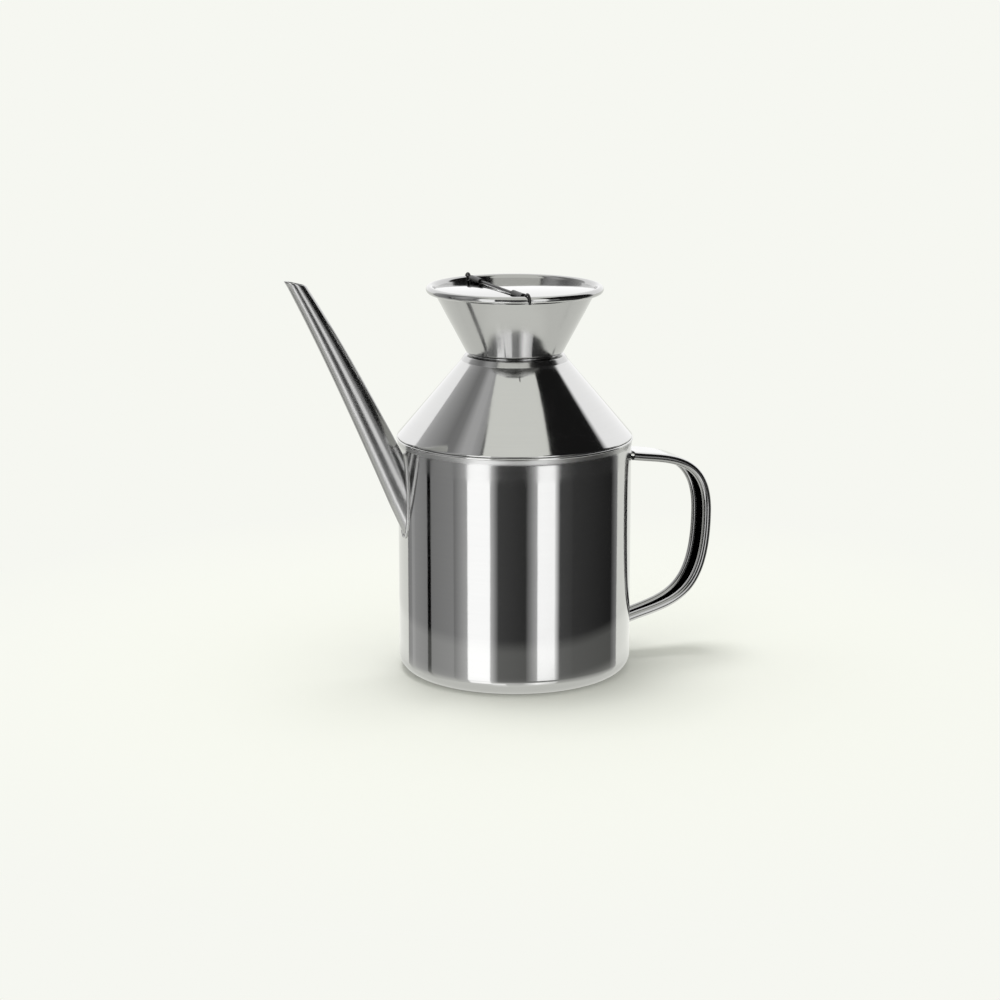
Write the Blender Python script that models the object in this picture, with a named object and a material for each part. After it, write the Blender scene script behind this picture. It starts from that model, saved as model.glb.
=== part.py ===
"""Stainless steel oil can: a drawn body, a cone shoulder, a funnel mouth with a hinged lid,
a long tapered spout and a strap handle with rolled edges.

Metres, +Z up. The origin is the centre of the base, on the surface that the can stands on.
The spout points to -X and the handle to +X.
"""

import math

import bmesh
import bpy
from mathutils import Vector
from mathutils.geometry import interpolate_bezier

MM = 0.001

# Clearance between pieces that touch, are joined or turn on each other
GAP = 0.3 * MM

# Sheet and wire
SHEET = 0.6 * MM            # drawn body, shoulder and funnel
SPOUT_SHEET = 0.6 * MM
LID_SHEET = 0.5 * MM
STRAP_SHEET = 0.7 * MM
WIRE_DIAMETER = 1.2 * MM

# Body and the folded seam at its top
BODY_RADIUS = 52.5 * MM
BODY_HEIGHT = 106.8 * MM    # to the top of the seam
BASE_CORNER = 7.0 * MM
SEAM_HEIGHT = 4.4 * MM
SEAM_PROUD = 0.8 * MM
SEAM_TURN_IN = 1.1 * MM     # how far the body's top edge is folded over the shoulder

# Cone shoulder and neck
SKIRT_RISE = 3.4 * MM       # upright skirt between the seam and the cone
SKIRT_BEND = 6.0 * MM
CONE_RISE = 31.5 * MM       # from the skirt's corner to the flat ring round the neck
NECK_RADIUS = 19.6 * MM
NECK_LEDGE = 4.4 * MM       # flat ring between the cone and the neck
NECK_LEDGE_BEND = 2.5 * MM
NECK_BEND = 0.9 * MM
NECK_HEIGHT = 3.0 * MM

# Funnel with its rolled rim and the sleeve that plugs into the neck
FUNNEL_HEIGHT = 29.9 * MM
FUNNEL_LEDGE = 2.1 * MM     # how far the funnel's foot stands out past the neck
FUNNEL_BEND = 0.8 * MM
SLEEVE_LENGTH = 7.0 * MM
RIM_RADIUS = 39.5 * MM
RIM_ROLL = 3.4 * MM         # diameter of the rolled rim
RIM_ROLL_SWEEP = math.radians(273.0)

# Lid in two halves and its wire hinge
LID_DROP = 2.0 * MM         # from the top of the rim down to the underside of the lid
HINGE_OFFSET = 8.5 * MM     # from the can's axis toward the spout
KNUCKLE_START = 20.0 * MM   # from the middle of the hinge
KNUCKLE_LENGTH = 12.0 * MM
KNUCKLE_END_ANGLE = math.radians(-20.0)
KNUCKLE_TAIL = 2.0 * MM
TAIL_SINK = 0.02 * MM       # the curled edge's tail lies this far inside the lid's faces
WIRE_TAIL = 1.4 * MM        # straight end of the wire outside the rim

# Spout: a tapered tube, oval at its root and round at its tip
SPOUT_ROOT_DROP = 23.35 * MM    # from the top of the seam down to where its axis meets the body
SPOUT_BEND_REACH = 29.0 * MM    # the bend's control point, out from the body
SPOUT_BEND_RISE = 63.15 * MM    # and up from the root
SPOUT_TIP_REACH = 48.95 * MM
SPOUT_TIP_RISE = 97.2 * MM
SPOUT_TIP_SLANT = 0.24          # the cut at the tip rises outward by this share
SPOUT_TIP_RADIUS = 3.55 * MM
SPOUT_ROOT_DEPTH = 7.8 * MM     # half the tube's height at the root, in the can's own plane
SPOUT_ROOT_WIDTH = 4.7 * MM     # half the tube's width at the root
SPOUT_ROOT_RUN = 24.0 * MM      # straight run past the wall, trimmed to the body
WELD_LEG = 1.3 * MM

# Strap handle
HANDLE_TOP_DROP = 9.2 * MM      # from the top of the seam down to the strap's upper face
HANDLE_TOP_SLOPE = 0.25
HANDLE_FOOT_HEIGHT = 14.6 * MM
HANDLE_FOOT_SLOPE = 0.33
HANDLE_REACH = 42.9 * MM
HANDLE_BELLY_HEIGHT = 64.9 * MM
HANDLE_TOP_PULL = 15.5 * MM     # how long the strap runs on its first direction
HANDLE_SHOULDER_PULL = 32.7 * MM
HANDLE_BELLY_PULL = 46.0 * MM
HANDLE_FOOT_PULL = 21.6 * MM
STRAP_TOP_WIDTH = 21.0 * MM
STRAP_FOOT_WIDTH = 11.8 * MM
STRAP_ROLL = 4.0 * MM           # diameter of the strap's rolled edges
STRAP_ROLL_SWEEP = math.radians(250.0)
STRAP_ROLL_STANDOFF = 2.5 * MM  # the rolled edges stop this far from the body
TAB_SINK = 0.05 * MM            # the welding tab lies this far inside the strap's faces
TAB_OVERLAP = 3.0 * MM
TAB_WELD_RADIUS = 0.7 * MM

# How far a cutter or a guide runs on past the faces that it works on
OVERRUN = 5.0 * MM

# Facets
CREASE_ANGLE = math.radians(35.0)   # edges that turn more than this are shaded sharp
ARC_TOLERANCE = 0.1 * MM        # how far an arc's facets may lie from the arc
TURN_STEPS = 60
LID_STEPS = 60
SPOUT_STEPS = 20
SPOUT_SIDES = 24
STRAP_STEPS = 15                # along each half of the handle
ROD_SIDES = 8
WELD_STEPS = 8
WELD_STATIONS = 6               # stations of the spout that its weld is cut from

# Heights and radii that follow from the sizes above
SEAM_FOOT = BODY_HEIGHT - SEAM_HEIGHT
CONE_TOP = BODY_HEIGHT + SKIRT_RISE + CONE_RISE
NECK_TOP = CONE_TOP + NECK_HEIGHT
FUNNEL_FOOT = NECK_TOP + GAP
RIM_TOP = FUNNEL_FOOT + FUNNEL_HEIGHT
SLEEVE_RADIUS = NECK_RADIUS - SHEET - GAP
SEAM_INNER = BODY_RADIUS + SEAM_PROUD - SHEET
SKIRT_RADIUS = SEAM_INNER - SHEET - 2.0 * GAP
LID_UNDERSIDE = RIM_TOP - LID_DROP
WIRE_RADIUS = WIRE_DIAMETER / 2.0
KNUCKLE_BORE = WIRE_RADIUS + GAP
KNUCKLE_RADIUS = KNUCKLE_BORE + LID_SHEET
HINGE_X = -HINGE_OFFSET
HINGE_Z = LID_UNDERSIDE + KNUCKLE_RADIUS
UP = Vector((0.0, 0.0, 1.0))
SIDEWAYS = Vector((1.0, 0.0, 0.0))
ROLL_CENTRE = Vector((RIM_RADIUS - RIM_ROLL / 2.0, RIM_TOP - RIM_ROLL / 2.0))


def clear_scene():
    for item in list(bpy.data.objects):
        bpy.data.objects.remove(item, do_unlink=True)


def steel(name, tone, roughness):
    """A polished stainless finish, a little lighter or darker from piece to piece."""
    material = bpy.data.materials.new(name)
    material.use_nodes = True
    shader = material.node_tree.nodes["Principled BSDF"]
    shader.inputs["Base Color"].default_value = (tone, tone, tone, 1.0)
    shader.inputs["Metallic"].default_value = 1.0
    shader.inputs["Roughness"].default_value = roughness
    return material


def make_object(name, mesh_builder, material=None, location=(0.0, 0.0, 0.0), parent=None):
    """Turn a bmesh into a named object with outward faces and soft shading on its curves."""
    bmesh.ops.recalc_face_normals(mesh_builder, faces=mesh_builder.faces)
    mesh = bpy.data.meshes.new(name)
    mesh_builder.to_mesh(mesh)
    mesh_builder.free()
    mesh.shade_smooth()
    mesh.set_sharp_from_angle(angle=CREASE_ANGLE)
    item = bpy.data.objects.new(name, mesh)
    item.location = location
    item.parent = parent
    bpy.context.collection.objects.link(item)
    if material is not None:
        mesh.materials.append(material)
    return item


def as_cutter(item):
    item.hide_render = True
    item.display_type = "WIRE"
    return item


def combine(item, other, operation):
    """Add a live Boolean that cuts, joins or keeps the overlap with another solid."""
    modifier = item.modifiers.new(operation.lower() + "_" + other.name, "BOOLEAN")
    modifier.operation = operation
    modifier.object = other
    modifier.solver = "EXACT"


def arc_points(centre, radius, start, sweep):
    """Points on an arc in a flat drawing, both ends included."""
    step = 2.0 * math.acos(1.0 - min(ARC_TOLERANCE / radius, 1.0))
    count = math.ceil(abs(sweep) / step)
    points = []
    for index in range(count + 1):
        angle = start + sweep * index / count
        points.append(centre + Vector((math.cos(angle), math.sin(angle))) * radius)
    return points


def rounded_path(corners):
    """A path through (radius, height, bend) corners, with each bend made as an arc."""
    path = [Vector(corners[0][:2])]
    for before, corner, after in zip(corners, corners[1:], corners[2:]):
        here = Vector(corner[:2])
        arriving = (here - Vector(before[:2])).normalized()
        leaving = (Vector(after[:2]) - here).normalized()
        turn = arriving.angle_signed(leaving)
        bend = corner[2]
        if bend == 0.0 or abs(turn) < 1e-6:
            path.append(here)
            continue
        start = here - arriving * bend * math.tan(abs(turn) / 2.0)
        side = math.copysign(1.0, -turn)
        to_centre = Vector((-arriving.y, arriving.x)) * side
        centre = start + to_centre * bend
        first = math.atan2(-to_centre.y, -to_centre.x)
        path.extend(arc_points(centre, bend, first, -turn))
    path.append(Vector(corners[-1][:2]))
    return path


def sheet_outline(path, thickness):
    """The closed outline of a sheet that lies half its thickness either side of a path."""
    sides = ([], [])
    for index, point in enumerate(path):
        normals = []
        if index > 0:
            run = (point - path[index - 1]).normalized()
            normals.append(Vector((-run.y, run.x)))
        if index < len(path) - 1:
            run = (path[index + 1] - point).normalized()
            normals.append(Vector((-run.y, run.x)))
        middle = (normals[0] + normals[-1]).normalized()
        reach = thickness / 2.0 / middle.dot(normals[0])
        sides[0].append(point + middle * reach)
        sides[1].append(point - middle * reach)
    return sides[0] + sides[1][::-1]


def turned(outline, steps=TURN_STEPS):
    """Spin a closed (radius, height) outline about the can's axis."""
    shape = bmesh.new()
    rim = [shape.verts.new((max(point.x, 0.0), 0.0, point.y)) for point in outline]
    edges = []
    for first, second in zip(rim, rim[1:] + rim[:1]):
        if first.co.x > 0.0 or second.co.x > 0.0:
            edges.append(shape.edges.new((first, second)))
    bmesh.ops.spin(
        shape, geom=rim + edges, cent=(0.0, 0.0, 0.0), axis=(0.0, 0.0, 1.0),
        angle=math.tau, steps=steps, use_merge=True,
    )
    bmesh.ops.remove_doubles(shape, verts=shape.verts, dist=1e-7)
    return shape


def lofted(rings):
    """Skin a list of rings, each a list of points, and close its two ends."""
    shape = bmesh.new()
    rows = [[shape.verts.new(point) for point in ring] for ring in rings]
    for row, following in zip(rows, rows[1:]):
        for index in range(len(row)):
            after = (index + 1) % len(row)
            shape.faces.new((row[index], row[after], following[after], following[index]))
    shape.faces.new(rows[0][::-1])
    shape.faces.new(rows[-1])
    return shape


def tube(outer_rings, inner_rings):
    """A tube with a bore: out along the outer rings, back along the inner ones."""
    shape = bmesh.new()
    rings = outer_rings + inner_rings[::-1]
    rows = [[shape.verts.new(point) for point in ring] for ring in rings]
    for row, following in zip(rows, rows[1:] + rows[:1]):
        for index in range(len(row)):
            after = (index + 1) % len(row)
            shape.faces.new((row[index], row[after], following[after], following[index]))
    return shape


def plate(outline, bottom, top):
    """A flat plate with an (x, y) outline between two heights."""
    shape = bmesh.new()
    face = shape.faces.new([shape.verts.new((x, y, bottom)) for x, y in outline])
    raised = bmesh.ops.extrude_face_region(shape, geom=[face])
    verts = [part for part in raised["geom"] if isinstance(part, bmesh.types.BMVert)]
    bmesh.ops.translate(shape, vec=(0.0, 0.0, top - bottom), verts=verts)
    return shape


def bar_along_y(outline, start, end):
    """A bar with an (x, z) outline between two places on Y."""
    rings = [[(point.x, place, point.y) for point in outline] for place in (start, end)]
    return lofted(rings)


def body_path():
    """Middle of the body's sheet: base, wall, seam bulge and the edge folded over the shoulder."""
    half = SHEET / 2.0
    wall = BODY_RADIUS - half
    bulge = wall + SEAM_PROUD
    return rounded_path([
        (0.0, half, 0.0),
        (wall, half, BASE_CORNER - half),
        (wall, SEAM_FOOT, SEAM_PROUD / 2.0),
        (bulge, SEAM_FOOT + SEAM_PROUD, SEAM_PROUD / 2.0),
        (bulge, BODY_HEIGHT - half, SEAM_PROUD),
        (bulge - SEAM_TURN_IN, BODY_HEIGHT - half, 0.0),
    ])


def shoulder_path():
    """Middle of the shoulder's sheet: hooked flange, skirt, cone, flat ring and neck."""
    half = SHEET / 2.0
    hook = SEAM_INNER - GAP - half
    skirt = SKIRT_RADIUS - half
    neck = NECK_RADIUS - half
    hook_foot = SEAM_FOOT + SEAM_PROUD + GAP + half
    return rounded_path([
        (hook, BODY_HEIGHT - SHEET - GAP, 0.0),
        (hook, hook_foot, 0.0),
        (skirt, hook_foot, 0.0),
        (skirt, BODY_HEIGHT + SKIRT_RISE, SKIRT_BEND),
        (NECK_RADIUS + NECK_LEDGE - half, CONE_TOP - half, NECK_LEDGE_BEND),
        (neck, CONE_TOP - half, NECK_BEND),
        (neck, NECK_TOP, 0.0),
    ])


def funnel_wall():
    """Foot corner of the funnel's wall, its direction, and the angle where the rim's roll starts."""
    foot = Vector((NECK_RADIUS + FUNNEL_LEDGE - SHEET / 2.0, FUNNEL_FOOT + SHEET / 2.0))
    roll_radius = (RIM_ROLL - SHEET) / 2.0
    to_roll = ROLL_CENTRE - foot
    heading = math.atan2(to_roll.y, to_roll.x) + math.asin(roll_radius / to_roll.length)
    return foot, heading, roll_radius


def funnel_path():
    """Middle of the funnel's sheet: sleeve, ledge, wall and rolled rim."""
    foot, heading, roll_radius = funnel_wall()
    sleeve = SLEEVE_RADIUS - SHEET / 2.0
    roll_start = heading + math.pi / 2.0
    roll = arc_points(ROLL_CENTRE, roll_radius, roll_start, -RIM_ROLL_SWEEP)
    path = rounded_path([
        (sleeve, FUNNEL_FOOT + SHEET / 2.0 - SLEEVE_LENGTH, 0.0),
        (sleeve, foot.y, FUNNEL_BEND),
        (foot.x, foot.y, FUNNEL_BEND),
        (roll[0].x, roll[0].y, 0.0),
    ])
    return path + roll[1:]


def lid_radius():
    """Largest flat disc that lies in the funnel at the lid's height, less the gap."""
    foot, heading, _ = funnel_wall()
    middle = foot.x + (LID_UNDERSIDE - foot.y) / math.tan(heading)
    return middle - (SHEET / 2.0 + GAP) / math.sin(heading)


def body_envelope(clearance, top):
    """Outline of the body and its seam, grown by a clearance, for trimming what is joined to it."""
    wall = BODY_RADIUS + clearance
    seam = wall + SEAM_PROUD
    return [
        Vector((0.0, -OVERRUN)),
        Vector((wall, -OVERRUN)),
        Vector((wall, SEAM_FOOT - clearance)),
        Vector((seam, SEAM_FOOT + SEAM_PROUD - clearance)),
        Vector((seam, top)),
        Vector((0.0, top)),
    ]


def spout_axis():
    """Points and directions along the spout's axis, from the tip to inside the body."""
    root = Vector((-BODY_RADIUS, 0.0, BODY_HEIGHT - SPOUT_ROOT_DROP))
    bend = root + Vector((-SPOUT_BEND_REACH, 0.0, SPOUT_BEND_RISE))
    tip = root + Vector((-SPOUT_TIP_REACH, 0.0, SPOUT_TIP_RISE))
    pull = 2.0 / 3.0            # makes the cubic curve the quadratic one through the single bend point
    points = interpolate_bezier(tip, tip.lerp(bend, pull), root.lerp(bend, pull), root, SPOUT_STEPS)
    heading = (root - bend).normalized()
    stations = []
    for index, point in enumerate(points):
        before = points[max(index - 1, 0)]
        after = points[min(index + 1, len(points) - 1)]
        direction = (after - before).normalized()
        if index == len(points) - 1:
            direction = heading
        stations.append((point, direction, index / (len(points) - 1)))
    stations.append((root + heading * SPOUT_ROOT_RUN, heading, 1.0))
    return stations


def spout_rings(grow, stations):
    """Oval rings along the spout, grown or shrunk; the one at the tip lies in the sawn cut."""
    cut = Vector((SPOUT_TIP_SLANT, 0.0, 1.0))
    rings = []
    for number, (point, direction, share) in enumerate(stations):
        depth = SPOUT_TIP_RADIUS + (SPOUT_ROOT_DEPTH - SPOUT_TIP_RADIUS) * share + grow
        width = SPOUT_TIP_RADIUS + (SPOUT_ROOT_WIDTH - SPOUT_TIP_RADIUS) * share + grow
        across = Vector((-direction.z, 0.0, direction.x))
        ring = []
        for side in range(SPOUT_SIDES):
            angle = math.tau * side / SPOUT_SIDES
            place = point + across * depth * math.cos(angle)
            place = place + Vector((0.0, 1.0, 0.0)) * width * math.sin(angle)
            if share == 0.0:
                place = place + direction * cut.dot(point - place) / cut.dot(direction)
            ring.append(place)
        rings.append(ring)
    return rings


def strap_stations():
    """Outer face of the strap from its upper end to its foot, with direction and width share."""
    wall = BODY_RADIUS
    top = Vector((wall, 0.0, BODY_HEIGHT - HANDLE_TOP_DROP))
    belly = Vector((wall + HANDLE_REACH, 0.0, HANDLE_BELLY_HEIGHT))
    foot = Vector((wall, 0.0, HANDLE_FOOT_HEIGHT))
    top_pull = top + Vector((1.0, 0.0, -HANDLE_TOP_SLOPE)) * HANDLE_TOP_PULL
    shoulder_pull = belly + Vector((0.0, 0.0, HANDLE_SHOULDER_PULL))
    belly_pull = belly - Vector((0.0, 0.0, HANDLE_BELLY_PULL))
    foot_pull = foot + Vector((1.0, 0.0, HANDLE_FOOT_SLOPE)) * HANDLE_FOOT_PULL
    upper = interpolate_bezier(top, top_pull, shoulder_pull, belly, STRAP_STEPS + 1)
    lower = interpolate_bezier(belly, belly_pull, foot_pull, foot, STRAP_STEPS + 1)
    points = upper + lower[1:]
    stations = []
    for index, point in enumerate(points):
        before = points[max(index - 1, 0)]
        after = points[min(index + 1, len(points) - 1)]
        stations.append((point, (after - before).normalized(), index / (len(points) - 1)))
    return stations


def station_at(inside, outside, limit):
    """The station between two others where the strap is a given distance from the can's axis."""
    share = (limit - inside[0].x) / (outside[0].x - inside[0].x)
    return (
        inside[0].lerp(outside[0], share),
        inside[1].lerp(outside[1], share).normalized(),
        inside[2] + (outside[2] - inside[2]) * share,
    )


def rolled_stations(stations):
    """The strap's stations where its edges are rolled, which stop short of the body at both ends."""
    limit = BODY_RADIUS + STRAP_ROLL_STANDOFF
    clear = [index for index, station in enumerate(stations) if station[0].x > limit]
    first = clear[0]
    last = clear[-1]
    start = station_at(stations[first - 1], stations[first], limit)
    end = station_at(stations[last + 1], stations[last], limit)
    return [start] + stations[first:last + 1] + [end]


def strap_width(share):
    return STRAP_TOP_WIDTH + (STRAP_FOOT_WIDTH - STRAP_TOP_WIDTH) * share


def strap_section(width):
    """Closed (across, depth) outline of the strap: a flat web whose edges are rolled inward."""
    centre_across = (width - STRAP_ROLL) / 2.0
    roll_centre = Vector((centre_across, STRAP_ROLL / 2.0))
    roll_radius = (STRAP_ROLL - STRAP_SHEET) / 2.0
    right = arc_points(roll_centre, roll_radius, -math.pi / 2.0, STRAP_ROLL_SWEEP)
    left = [Vector((-point.x, point.y)) for point in right]
    return sheet_outline(left[::-1] + right, STRAP_SHEET)


def strap_ring(station, outline):
    """Place an (across, depth) outline square to the strap's path."""
    point, direction, _ = station
    inward = Vector((direction.z, 0.0, -direction.x))
    return [point + Vector((0.0, spot.x, 0.0)) + inward * spot.y for spot in outline]


def tab_bar(station, heading, width, outward):
    """A flat welding tab from inside the body's wall to a little way along the strap's web."""
    point = station[0]
    inward = Vector((heading.z, 0.0, -heading.x)) * outward
    outer = point + inward * TAB_SINK
    inner = point + inward * (STRAP_SHEET - TAB_SINK)
    half = Vector((0.0, width / 2.0, 0.0))
    rings = []
    for run in (-OVERRUN, STRAP_ROLL_STANDOFF + TAB_OVERLAP):
        shift = heading * run
        rings.append([outer + shift - half, outer + shift + half,
                      inner + shift + half, inner + shift - half])
    return lofted(rings)


def tab_weld_path(station, heading, width, outward):
    """An arc along the body's wall, just under the inner face of a welding tab."""
    reach = BODY_RADIUS + GAP + TAB_WELD_RADIUS
    inward = Vector((heading.z, 0.0, -heading.x)) * outward
    face = station[0] + inward * (STRAP_SHEET + GAP + TAB_WELD_RADIUS)
    height = face.z + (reach - face.x) * heading.z / heading.x
    spread = math.asin(width / 2.0 / BODY_RADIUS)
    angles = [spread * (2.0 * index / WELD_STEPS - 1.0) for index in range(WELD_STEPS + 1)]
    return [Vector((reach * math.cos(angle), reach * math.sin(angle), height)) for angle in angles]


def rod(path, radius, side_axis):
    """A round rod along a flat path; side_axis is square to the plane that the path lies in."""
    rings = []
    for index, point in enumerate(path):
        before = path[max(index - 1, 0)]
        after = path[min(index + 1, len(path) - 1)]
        across = side_axis.cross(after - before).normalized()
        ring = []
        for side in range(ROD_SIDES):
            angle = math.tau * (side + 0.5) / ROD_SIDES
            ring.append(point + (across * math.cos(angle) + side_axis * math.sin(angle)) * radius)
        rings.append(ring)
    return lofted(rings)


def wire_path():
    """Axis of the hinge wire: along the chord, over the rolled rim and down outside it."""
    rim_y = math.sqrt(ROLL_CENTRE.x ** 2 - HINGE_X ** 2)
    slant = ROLL_CENTRE.x / rim_y
    over = (RIM_ROLL / 2.0 + GAP + WIRE_RADIUS) * slant
    start = math.pi - math.asin((HINGE_Z - ROLL_CENTRE.y) / over)
    side = arc_points(Vector((rim_y, ROLL_CENTRE.y)), over, start, -start)
    side.append(Vector((rim_y + over, ROLL_CENTRE.y - WIRE_TAIL)))
    path = [Vector((-spot.x, spot.y)) for spot in side[::-1]] + side
    return [Vector((HINGE_X, spot.x, spot.y)) for spot in path]


def disc_arc(radius, start, end):
    """Points of a disc's edge between two angles."""
    count = math.ceil(abs(end - start) / math.tau * LID_STEPS)
    angles = [start + (end - start) * index / count for index in range(count + 1)]
    return [(radius * math.cos(angle), radius * math.sin(angle)) for angle in angles]


def knuckle_outline():
    """Outline, about the hinge's axis, of a lid edge curled round the wire."""
    start = -math.pi / 2.0
    sweep = KNUCKLE_END_ANGLE - start - math.tau
    middle = Vector((0.0, 0.0))
    outside = arc_points(middle, KNUCKLE_RADIUS, start, sweep)
    inside = arc_points(middle, KNUCKLE_BORE, start + sweep, -sweep)
    tail_foot = Vector((KNUCKLE_TAIL, -KNUCKLE_RADIUS + TAIL_SINK))
    tail_top = Vector((KNUCKLE_TAIL, -KNUCKLE_BORE - TAIL_SINK))
    return [tail_foot] + outside + inside + [tail_top]


def build_body(material, parent):
    """Drawn cup with a hole for the spout's bore."""
    body = make_object("body_cup", turned(sheet_outline(body_path(), SHEET)), material, parent=parent)
    near_root = spout_axis()[-3:]
    bore = as_cutter(make_object("spout_hole_cutter", lofted(spout_rings(-SPOUT_SHEET, near_root))))
    combine(body, bore, "DIFFERENCE")


def build_spout(tube_material, weld_material, wall, parent):
    """Tapered tube trimmed to the body, and the bead of weld round its root."""
    stations = spout_axis()
    skins = (spout_rings(0.0, stations), spout_rings(-SPOUT_SHEET, stations))
    spout = make_object("spout_tube", tube(*skins), tube_material, parent=parent)
    combine(spout, wall, "DIFFERENCE")

    reach = as_cutter(make_object("weld_reach_guide", turned(body_envelope(GAP + WELD_LEG, BODY_HEIGHT))))
    core = as_cutter(make_object("weld_core_cutter", lofted(spout_rings(GAP, stations))))
    bead = lofted(spout_rings(GAP + WELD_LEG, stations[-WELD_STATIONS:]))
    weld = make_object("spout_weld", bead, weld_material, parent=parent)
    combine(weld, reach, "INTERSECT")
    combine(weld, wall, "DIFFERENCE")
    combine(weld, core, "DIFFERENCE")


def build_handle(strap_material, weld_material, wall, parent):
    """Strap with rolled edges, its welding tabs and the weld under each tab."""
    stations = strap_stations()
    rings = [
        strap_ring(station, strap_section(strap_width(station[2])))
        for station in rolled_stations(stations)
    ]
    strap = make_object("handle_strap", lofted(rings), strap_material, parent=parent)

    upper = (stations[0], Vector((1.0, 0.0, -HANDLE_TOP_SLOPE)).normalized(), 1.0)
    lower = (stations[-1], Vector((1.0, 0.0, HANDLE_FOOT_SLOPE)).normalized(), -1.0)
    for name, (station, heading, outward) in (("upper", upper), ("lower", lower)):
        width = strap_width(station[2]) - STRAP_ROLL
        tab = as_cutter(make_object("tab_guide_" + name, tab_bar(station, heading, width, outward)))
        combine(strap, tab, "UNION")
        weld_shape = rod(tab_weld_path(station, heading, width, outward), TAB_WELD_RADIUS, UP)
        make_object("handle_weld_" + name, weld_shape, weld_material, parent=parent)
    combine(strap, wall, "DIFFERENCE")


def build_lid(material, wire_material, parent):
    """Fixed half, flap with two curled knuckles, and the wire that they turn on."""
    make_object("hinge_wire", rod(wire_path(), WIRE_RADIUS, SIDEWAYS), wire_material, parent=parent)

    radius = lid_radius()
    knuckle_end = KNUCKLE_START + KNUCKLE_LENGTH
    edge = HINGE_X - GAP
    notch = HINGE_X - KNUCKLE_RADIUS - GAP
    corner = math.acos(edge / radius)
    outline = disc_arc(radius, corner, math.tau - corner)
    for first, last in ((-knuckle_end, -KNUCKLE_START), (KNUCKLE_START, knuckle_end)):
        outline.extend([(edge, first - GAP), (notch, first - GAP)])
        outline.extend([(notch, last + GAP), (edge, last + GAP)])
    fixed = plate(outline, LID_UNDERSIDE, LID_UNDERSIDE + LID_SHEET)
    make_object("lid_fixed", fixed, material, parent=parent)

    edge = HINGE_X + GAP
    set_back = HINGE_X + KNUCKLE_TAIL
    corner = math.acos(set_back / radius)
    outline = disc_arc(radius, -corner, corner)
    outline.extend([(set_back, knuckle_end), (edge, knuckle_end)])
    outline.extend([(edge, -knuckle_end), (set_back, -knuckle_end)])
    outline = [(x - HINGE_X, y) for x, y in outline]
    axis = (HINGE_X, 0.0, HINGE_Z)
    flap = make_object("lid_flap", plate(outline, -KNUCKLE_RADIUS, -KNUCKLE_BORE), material, axis, parent)
    for name, start in (("near", -knuckle_end), ("far", KNUCKLE_START)):
        shape = bar_along_y(knuckle_outline(), start, start + KNUCKLE_LENGTH)
        knuckle = as_cutter(make_object("knuckle_guide_" + name, shape, location=axis, parent=parent))
        combine(flap, knuckle, "UNION")


def main():
    clear_scene()
    can = bpy.data.objects.new("oil_can", None)
    bpy.context.collection.objects.link(can)
    polished = steel("polished_steel", 0.62, 0.12)
    drawn = steel("drawn_steel", 0.58, 0.18)
    wire = steel("steel_wire", 0.14, 0.3)
    weld = steel("weld_steel", 0.5, 0.4)

    wall = as_cutter(make_object("body_wall_cutter", turned(body_envelope(GAP, BODY_HEIGHT + GAP))))
    build_body(polished, can)
    make_object("shoulder_cone", turned(sheet_outline(shoulder_path(), SHEET)), polished, parent=can)
    make_object("funnel", turned(sheet_outline(funnel_path(), SHEET)), polished, parent=can)
    build_lid(polished, wire, can)
    build_spout(drawn, weld, wall, can)
    build_handle(drawn, weld, wall, can)


main()
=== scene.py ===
import math

import bmesh
import bpy
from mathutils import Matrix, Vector
from mathutils.geometry import interpolate_bezier


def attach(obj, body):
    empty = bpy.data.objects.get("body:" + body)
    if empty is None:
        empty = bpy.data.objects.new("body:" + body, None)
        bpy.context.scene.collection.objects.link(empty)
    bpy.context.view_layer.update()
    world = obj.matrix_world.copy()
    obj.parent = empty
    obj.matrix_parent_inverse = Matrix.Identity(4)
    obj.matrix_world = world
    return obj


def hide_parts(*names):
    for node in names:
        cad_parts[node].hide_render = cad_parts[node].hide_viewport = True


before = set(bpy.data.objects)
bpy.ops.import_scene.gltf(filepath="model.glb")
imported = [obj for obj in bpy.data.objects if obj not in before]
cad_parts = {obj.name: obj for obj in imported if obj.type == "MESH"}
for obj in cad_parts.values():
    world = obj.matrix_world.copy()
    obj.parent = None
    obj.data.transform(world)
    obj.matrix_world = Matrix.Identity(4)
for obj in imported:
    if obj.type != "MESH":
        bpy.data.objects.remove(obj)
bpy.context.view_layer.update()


# Drawn body
# One cup of stainless sheet, pressed with a rounded foot and polished while it turns. Its top edge
# flares softly and is rolled over the shoulder's flange, which leaves a narrow round lip.

MM = 0.001
SHEET = 0.6 * MM
BODY_RADIUS = 52.5 * MM
BODY_HEIGHT = 106.8 * MM
BASE_CORNER = 7.0 * MM
BASE_RING = 40.0 * MM
BASE_RECESS_RADIUS = 38.0 * MM
BASE_RECESS = 0.35 * MM
BASE_BEND = 4.0 * MM
SEAM_FOOT = 103.5 * MM
SEAM_COVE = 104.1 * MM
SEAM_COVE_BEND = 10.0 * MM
SEAM_BAND_RADIUS = 52.9 * MM
SEAM_LIP_RADIUS = 53.2 * MM
SEAM_LIP_FOOT = 106.1 * MM
SEAM_LIP_TOP = 107.1 * MM
TURN_STEPS = 240
ARC_STEP = math.radians(10.0)
STEEL_TONE = 0.6
WAVE_SCALE = 34.0
RIPPLE_SCALE = 110.0
MARK_SCALE = 60.0
WAVE_DEPTH = 0.05 * MM
MIRROR_ROUGHNESS = 0.05
HAZE_FOOT = 95.0 * MM
HAZE_FADE = 3.0 * MM
HAZE_ROUGHNESS = 0.07
SEAM_ROUGHNESS = 0.18


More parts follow.
